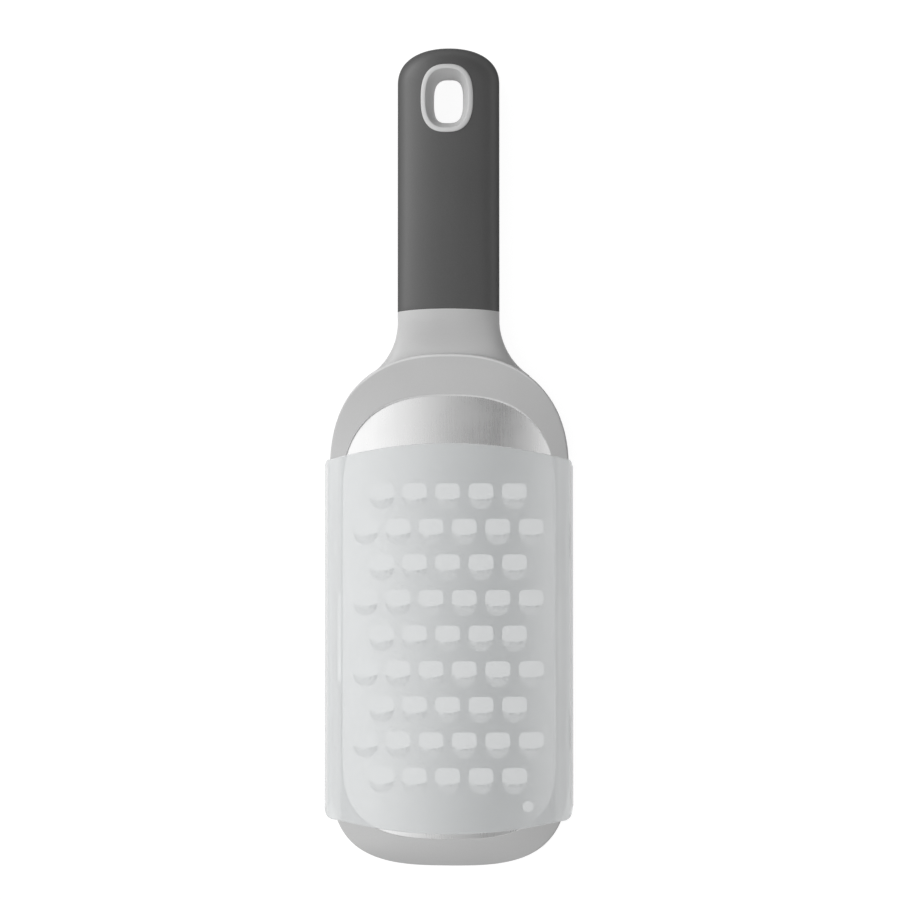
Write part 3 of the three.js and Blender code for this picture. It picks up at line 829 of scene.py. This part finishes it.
class Graph:
    """Node tree with short calls to add nodes and join sockets."""

    def __init__(self, tree):
        self.tree = tree
        tree.nodes.clear()

    def add(self, kind, inputs=None, **settings):
        node = self.tree.nodes.new(kind)
        for name, value in settings.items():
            setattr(node, name, value)
        for name, value in (inputs or {}).items():
            if isinstance(value, bpy.types.NodeSocket):
                self.tree.links.new(value, node.inputs[name])
            else:
                node.inputs[name].default_value = value
        return node

    def noise(self, where, scale, detail, roughness=0.5):
        node = self.add("ShaderNodeTexNoise", {
            "Vector": where, "Scale": scale, "Detail": detail, "Roughness": roughness,
        })
        return node.outputs[0]

    def stretched(self, where, scale):
        return self.add("ShaderNodeMapping", {"Vector": where, "Scale": scale}).outputs[0]

    def ramp(self, value, stops):
        node = self.add("ShaderNodeValToRGB", {"Fac": value})
        elements = node.color_ramp.elements
        while len(elements) < len(stops):
            elements.new(0.5)
        for element, (position, colour) in zip(elements, stops):
            element.position = position
            element.color = (*colour, 1)
        return node.outputs[0]

    def shades(self, noise, one, other, reach=NOISE_REACH):
        return self.ramp(noise, list(zip(reach, (one, other))))

    def remap(self, value, low, high, to_low, to_high):
        return self.add("ShaderNodeMapRange", {
            "Value": value, "From Min": low, "From Max": high, "To Min": to_low, "To Max": to_high,
        }).outputs[0]

    def between(self, noise, low, high):
        return self.remap(noise, *NOISE_REACH, low, high)

    def blend(self, share, one, other):
        node = self.add("ShaderNodeMix", {0: share, 6: one, 7: other}, data_type="RGBA")
        return node.outputs[2]

    def math(self, operation, one, other):
        return self.add("ShaderNodeMath", {0: one, 1: other}, operation=operation).outputs[0]

    def bump(self, height, depth, strength):
        return self.add("ShaderNodeBump", {
            "Height": height, "Distance": depth * MM, "Strength": strength,
        }).outputs[0]

    def place(self):
        return self.add("ShaderNodeTexCoord").outputs["Object"]

    def tone(self):
        return self.add("ShaderNodeAttribute", attribute_name="tone").outputs["Fac"]

    def painted_highlight_share(self, patches, amount):
        """Share of painted highlight on edges: how strongly the points are lightened, broken up by a
        patchy noise.
        """
        return self.math("MULTIPLY", self.tone(), self.between(patches, 0.7 * amount, amount))

    def surface(self, **inputs):
        named = {name.replace("_", " "): value for name, value in inputs.items()}
        shader = self.add("ShaderNodeBsdfPrincipled", named)
        self.add("ShaderNodeOutputMaterial", {"Surface": shader.outputs[0]})


def grey(value):
    return (value, value, value)


def new_material(name):
    material = bpy.data.materials.new(name)
    material.use_nodes = True
    return material, Graph(material.node_tree)


def satin_plastic(name):
    """Light grey moulding with a fine spark-eroded grain, with a painted highlight that makes its edges
    paler.
    """
    material, graph = new_material(name)
    place = graph.place()
    cloud = graph.noise(place, 60, detail=3)
    grain = graph.noise(place, 3200, detail=3, roughness=0.6)
    dark, pale, dark_speck, pale_speck, painted_highlight_grey = (
        grey(MOULDING_SHADE * share) for share in (0.975, 1.02, 0.94, 1.03, 1.4)
    )
    colour = graph.shades(cloud, dark, pale)
    colour = graph.blend(0.4, colour, graph.shades(grain, dark_speck, pale_speck, SPECK_REACH))
    # Painted highlight: points with tone, on the ridge, the lip and the bead, are painted paler.
    colour = graph.blend(graph.painted_highlight_share(cloud, 0.9), colour, (*painted_highlight_grey, 1))
    graph.surface(
        Base_Color=colour,
        Roughness=graph.between(grain, 0.38, 0.5),
        Specular_IOR_Level=0.5,
        Normal=graph.bump(grain, 0.03, 0.35),
    )
    return material


def soft_rubber():
    """Dark grey soft skin with a fine matt texture, duller where it turns away."""
    material, graph = new_material("grip_rubber")
    place = graph.place()
    cloud = graph.noise(place, 45, detail=4)
    grain = graph.noise(place, 2600, detail=4, roughness=0.65)
    colour = graph.shades(cloud, grey(0.058), grey(0.068))
    colour = graph.blend(0.45, colour, graph.shades(grain, grey(0.05), grey(0.076), SPECK_REACH))
    facing = graph.add("ShaderNodeLayerWeight", {"Blend": 0.5}).outputs["Facing"]
    duller = graph.remap(facing, 0.25, 0.6, 0, 0.4)
    graph.surface(
        Base_Color=colour,
        Roughness=graph.math("ADD", graph.between(grain, 0.47, 0.57), duller),
        IOR=1.55,
        Specular_IOR_Level=0.7,
        Normal=graph.bump(grain, 0.05, 0.5),
    )
    return material


def brushed_steel():
    """Stainless sheet brushed along its length, with a painted highlight along its cutting edges."""
    material, graph = new_material("plate_steel")
    place = graph.place()
    fine = graph.noise(graph.stretched(place, (1, 0.012, 1)), 5200, detail=3, roughness=0.6)
    broad = graph.noise(graph.stretched(place, (1, 0.03, 1)), 420, detail=3)
    cloud = graph.noise(place, 90, detail=3)
    colour = graph.shades(fine, grey(0.7), grey(0.74))
    colour = graph.blend(0.5, colour, graph.shades(broad, grey(0.71), grey(0.73)))
    # Painted highlight: points with tone, along the cutting edges, are painted paler.
    colour = graph.blend(graph.painted_highlight_share(cloud, 0.6), colour, (*grey(0.9), 1))
    graph.surface(
        Base_Color=colour,
        Metallic=1.0,
        Roughness=graph.remap(graph.math("ADD", fine, cloud), 0.7, 1.3, 0.24, 0.34),
        Normal=graph.bump(fine, 0.008, 0.2),
    )
    return material


def frosted_plastic():
    """See-through moulding with a fine frosted face, denser where milkier and painted paler there as
    painted light.
    """
    material, graph = new_material("sleeve_plastic")
    place = graph.place()
    cloud = graph.noise(place, 40, detail=3)
    grain = graph.noise(place, 2800, detail=3, roughness=0.6)
    milk = graph.tone()
    colour = graph.shades(cloud, (0.614, 0.634, 0.642), (0.636, 0.656, 0.664))
    # Above one half, milkiness paints the plastic paler: painted light standing in for light scattered
    # through it.
    colour = graph.blend(graph.remap(milk, 0.5, 1, 0, 0.7), colour, (0.86, 0.87, 0.87, 1))
    graph.surface(
        Base_Color=colour,
        Roughness=graph.between(grain, 0.28, 0.4),
        IOR=1.6,
        Specular_IOR_Level=1.0,
        Alpha=graph.remap(milk, 0, 1, 0.3, 0.84),
        Normal=graph.bump(grain, 0.02, 0.3),
    )
    return material


make_frame(satin_plastic("frame_plastic"))
make_plate(brushed_steel())
make_grip(soft_rubber())
make_ring(satin_plastic("ring_plastic"))
make_sleeve(frosted_plastic())


# Stage, light and camera. The lamp and the camera's distance are in metres.

FLOOR_RADIUS = 5000
FLOOR_DROP = 0.05
FLOOR_POINTS = 96
FLOOR_SHADE = 0.2
FLOOR_GLOW = 0.92
BACKDROP_HEIGHT = 1600
BACKDROP_STEPS = 16

# Light of the studio by how far to the right it lies, from -1 to 1.
OVERHEAD = (
    (-0.75, 1.6), (-0.5, 1.5), (-0.4, 1.25), (-0.25, 1), (-0.08, 0.6),
    (0.18, 0.33), (0.3, 0.1), (0.42, 0.95), (0.56, 1.8), (0.75, 0.9),
)
LOW_TIP_SIDE = ((-0.9, 1.05), (-0.4, 1), (0, 0.85), (0.4, 1.15), (0.75, 0.4))
LOW_HANDLE_SIDE = ((-0.9, 0.9), (-0.6, 1.1), (-0.25, 0))
# Where one side gives way to the other along Y, and the low light to the overhead light along Z.
SIDES_MEET_Y = (-0.3, 0.3)
OVERHEAD_Z = (0.55, 0.85)

KEY_WIDTH = 1.6
KEY_HEIGHT = 0.9
KEY_WATTS = 15.5
KEY_PLACE = (-1.42, 0.9, 0.53)

SENSOR_WIDTH = 36
FOCAL_LENGTH = 114
CAMERA_TARGET = (0.5, 1.97, 10)
CAMERA_DISTANCE = 0.95
CAMERA_TO_RIGHT = math.radians(3.9)
CAMERA_TO_TIP = math.radians(1.5)


def make_floor():
    """White floor that curves up into a backdrop all round and keeps a soft shadow."""
    body = Body()
    loops = []
    for turn in spread(0, math.pi / 2, BACKDROP_STEPS):
        radius = FLOOR_RADIUS + BACKDROP_HEIGHT * math.sin(turn)
        height = BACKDROP_HEIGHT * (1 - math.cos(turn)) - FLOOR_DROP
        loops.append(body.add_ring([
            (radius * math.cos(way), radius * math.sin(way), height)
            for way in round_turns(FLOOR_POINTS)
        ]))
    for one, other in zip(loops, loops[1:]):
        body.join(one, other)
    body.faces.append(tuple(loops[0]))
    floor = link("floor", body.mesh("floor"))
    floor.data.shade_smooth()
    material, graph = new_material("floor")
    path = graph.add("ShaderNodeLightPath").outputs
    seen = graph.math("MAXIMUM", path["Is Camera Ray"], path["Is Glossy Ray"])
    seen = graph.math("MAXIMUM", seen, path["Is Transmission Ray"])
    shaded = graph.add("ShaderNodeBsdfDiffuse", {"Color": (*grey(FLOOR_SHADE), 1)})
    glow = graph.add("ShaderNodeEmission", {"Strength": graph.math("MULTIPLY", seen, FLOOR_GLOW)})
    white = graph.add("ShaderNodeAddShader", {0: shaded.outputs[0], 1: glow.outputs[0]})
    graph.add("ShaderNodeOutputMaterial", {"Surface": white.outputs[0]})
    floor.data.materials.append(material)


def make_world():
    """Soft studio: brightest on the left, dim above the right half, with a paler fill further right."""
    world = bpy.data.worlds.new("studio")
    bpy.context.scene.world = world
    world.use_nodes = True
    graph = Graph(world.node_tree)
    ray = graph.add("ShaderNodeTexCoord").outputs["Generated"]
    axes = graph.add("ShaderNodeSeparateXYZ", {"Vector": ray}).outputs
    across = graph.remap(axes["X"], -1, 1, 0, 1)

    def wall(stops):
        return graph.ramp(across, [((x + 1) / 2, grey(light)) for x, light in stops])

    to_handle = graph.remap(axes["Y"], *SIDES_MEET_Y, 0, 1)
    to_overhead = graph.remap(axes["Z"], *OVERHEAD_Z, 0, 1)
    low = graph.blend(to_handle, wall(LOW_TIP_SIDE), wall(LOW_HANDLE_SIDE))
    sky = graph.blend(to_overhead, low, wall(OVERHEAD))
    light = graph.add("ShaderNodeBackground", {"Color": sky, "Strength": 1.0})
    graph.add("ShaderNodeOutputWorld", {"Surface": light.outputs[0]})


def make_key():
    """Large soft lamp low on the left, towards the handle."""
    lamp = bpy.data.lights.new("key", "AREA")
    lamp.shape = "RECTANGLE"
    lamp.size = KEY_WIDTH
    lamp.size_y = KEY_HEIGHT
    lamp.energy = KEY_WATTS
    key = link("key", lamp)
    key.location = KEY_PLACE
    key.rotation_euler = (-key.location).to_track_quat("-Z", "Y").to_euler()


def make_camera():
    """Camera almost straight above, a little to the right and towards the tip."""
    lens = bpy.data.cameras.new("camera")
    lens.sensor_width = SENSOR_WIDTH
    lens.lens = FOCAL_LENGTH
    camera = link("camera", lens)
    back = Vector((math.tan(CAMERA_TO_RIGHT), -math.tan(CAMERA_TO_TIP), 1)).normalized()
    right = Vector((0, 1, 0)).cross(back).normalized()
    up = back.cross(right)
    turn = Matrix((right, up, back)).transposed().to_4x4()
    place = Vector(CAMERA_TARGET) * MM + back * CAMERA_DISTANCE
    camera.matrix_world = Matrix.Translation(place) @ turn
    bpy.context.scene.camera = camera


make_floor()
make_world()
make_key()
make_camera()
bpy.context.scene.view_settings.view_transform = "Standard"
